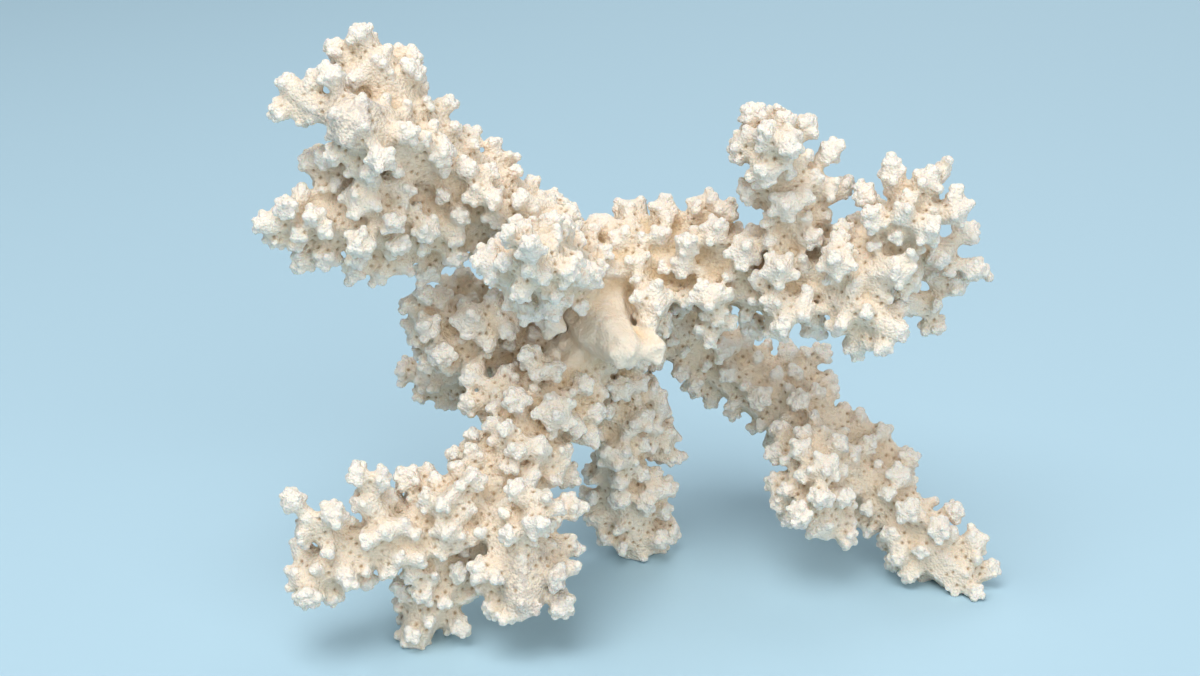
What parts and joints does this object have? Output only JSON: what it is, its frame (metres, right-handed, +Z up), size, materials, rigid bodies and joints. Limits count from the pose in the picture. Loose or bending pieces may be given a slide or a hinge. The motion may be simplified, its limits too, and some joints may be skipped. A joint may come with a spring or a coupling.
{
  "type": "branching coral",
  "caption": "Bleached branching coral with knobbly, fingered branches that spread from a bare holdfast stub, resting on the tips of its lower branches.",
  "frame": {"origin": "on the surface it rests on, under the middle of its bounding box", "axes": "+X to the viewer's right along the greatest width, +Y away from the viewer, +Z up"},
  "size_m": [0.1628, 0.092, 0.1359],
  "materials": {
    "core": "matte, chalky warm cream skeleton with a smooth worn stub",
    "branches": "matte, chalky off-white skeleton, pitted all over with small dark cups"
  },
  "bodies": {
    "root": {"trunk": "core", "upper_left_branch": "branches", "upper_left_fork": "branches", "front_branch": "branches", "left_branch": "branches", "front_leg": "branches", "front_leg_arm": "branches", "front_leg_foot": "branches", "front_leg_stub": "branches", "middle_leg": "branches", "right_leg": "branches", "right_leg_fork": "branches", "right_branch": "branches", "upright_branch": "branches"}
  },
  "joints": []
}
